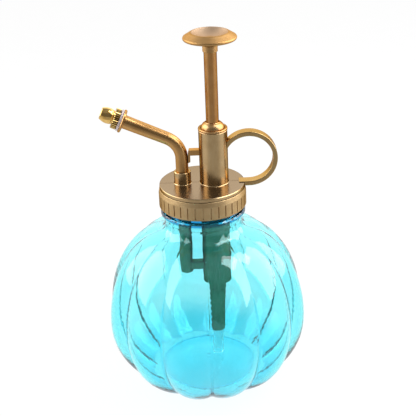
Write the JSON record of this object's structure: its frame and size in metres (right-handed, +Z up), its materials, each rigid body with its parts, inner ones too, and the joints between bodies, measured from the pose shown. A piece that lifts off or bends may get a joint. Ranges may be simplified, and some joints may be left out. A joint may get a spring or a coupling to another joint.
{
  "type": "plant mister",
  "caption": "Hand-pump plant mister: lobed transparent bottle, screw-on head with a press-down plunger, finger ring and bent spout ending in a small screw-adjusted spray nozzle.",
  "frame": {"origin": "centre of the bottle's base, at the plane that it stands on", "axes": "+Z up along the bottle's axis, -X towards the spout, +X towards the finger ring"},
  "size_m": [0.0986, 0.0986, 0.1803],
  "materials": {
    "cyan_plastic": "clear tinted, glossy, moulded",
    "antique_gold": "satin antique-gold coated plastic, lightly brushed",
    "polished_brass": "polished, turned and knurled",
    "clear_plastic": "translucent, natural",
    "seal_rubber": "matte black",
    "white_plastic": "natural white",
    "steel": "bright stainless wire and balls"
  },
  "bodies": {
    "bottle": {"bottle": "cyan_plastic"},
    "head": {"pump_head": "antique_gold", "finger_ring": "antique_gold", "spout_brace": "antique_gold", "spout_tube": "antique_gold", "swirl_core": "polished_brass", "cap_gasket": "seal_rubber", "pump_barrel": "antique_gold", "suction_tail": "antique_gold", "inlet_stop": "white_plastic", "outlet_stop": "white_plastic", "dip_tube": "clear_plastic", "gland_nut": "antique_gold", "gland_seal": "seal_rubber", "return_spring": "steel"},
    "collar": {"screw_collar": "antique_gold"},
    "plunger_seal": {"piston_seal": "seal_rubber"},
    "plunger": {"piston": "white_plastic", "plunger_rod": "antique_gold", "knob": "antique_gold"},
    "washer": {"nozzle_washer": "clear_plastic"},
    "nozzle": {"nozzle_nut": "polished_brass"},
    "inlet_valve": {"inlet_ball": "steel"},
    "outlet_valve": {"outlet_ball": "steel"}
  },
  "joints": [
    {"name": "head_lift", "type": "slide", "parent": "bottle", "child": "head", "axis": [0, 0, 1], "range_m": [0, 0.00375]},
    {"name": "collar_turn", "type": "hinge", "parent": "head", "child": "collar", "pos_m": [0, 0, 0.1], "axis": [0, 0, 1], "range_deg": [0, 541]},
    {"name": "plunger_press", "type": "slide", "parent": "head", "child": "plunger_seal", "axis": [0, 0, 1], "range_m": [-0.032, 0], "stiffness_N_per_m": 100, "springref_m": 0.02, "deforming": ["return_spring"]},
    {"name": "knob_spin", "type": "hinge", "parent": "plunger_seal", "child": "plunger", "pos_m": [0.006, 0, 0.12], "axis": [0, 0, 1], "continuous": true},
    {"name": "nozzle_feed", "type": "slide", "parent": "head", "child": "washer", "axis": [-0.9078, 0, 0.4195], "range_m": [0, 0.0012]},
    {"name": "nozzle_turn", "type": "hinge", "parent": "washer", "child": "nozzle", "pos_m": [-0.03649, 0, 0.13884], "axis": [-0.9078, 0, 0.4195], "range_deg": [0, 541]},
    {"name": "inlet_valve_lift", "type": "slide", "parent": "head", "child": "inlet_valve", "axis": [0, 0, 1], "range_m": [0, 0.0015]},
    {"name": "outlet_valve_lift", "type": "slide", "parent": "head", "child": "outlet_valve", "axis": [0, 0, 1], "range_m": [0, 0.0015]}
  ],
  "couplings": [
    {"joint": "collar_turn", "follows": "head_lift", "rad_per_m": 2513.3},
    {"joint": "nozzle_turn", "follows": "nozzle_feed", "rad_per_m": 7854}
  ]
}
